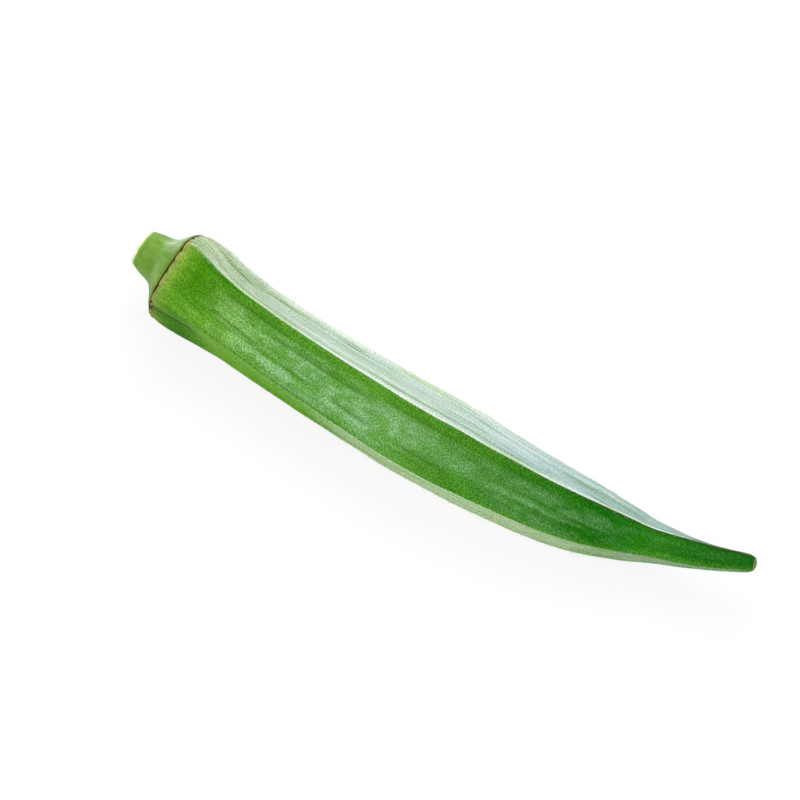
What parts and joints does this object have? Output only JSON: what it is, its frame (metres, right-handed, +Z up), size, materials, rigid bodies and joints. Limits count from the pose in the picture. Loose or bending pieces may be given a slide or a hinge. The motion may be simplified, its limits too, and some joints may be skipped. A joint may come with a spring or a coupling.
{
  "type": "okra pod",
  "caption": "Fresh okra pod lying on its side: a five-ridged, slightly bowed green capsule that tapers to a blunt beak, with a flared cap and a cut stalk.",
  "frame": {"origin": "on the surface the pod lies on, under the middle of its box", "axes": "+X along the pod from the cut stalk to the tip, +Z up, away from the surface it lies on; the pod bows towards -Y"},
  "size_m": [0.1278, 0.0226, 0.0181],
  "materials": {
    "pod_skin": "downy green plant skin with a pale bloom, satin in the hollows",
    "stalk_skin": "smooth pale green stem, moist and fibrous at the cut"
  },
  "bodies": {
    "root": {"pod": "pod_skin", "stalk": "stalk_skin"}
  },
  "joints": []
}
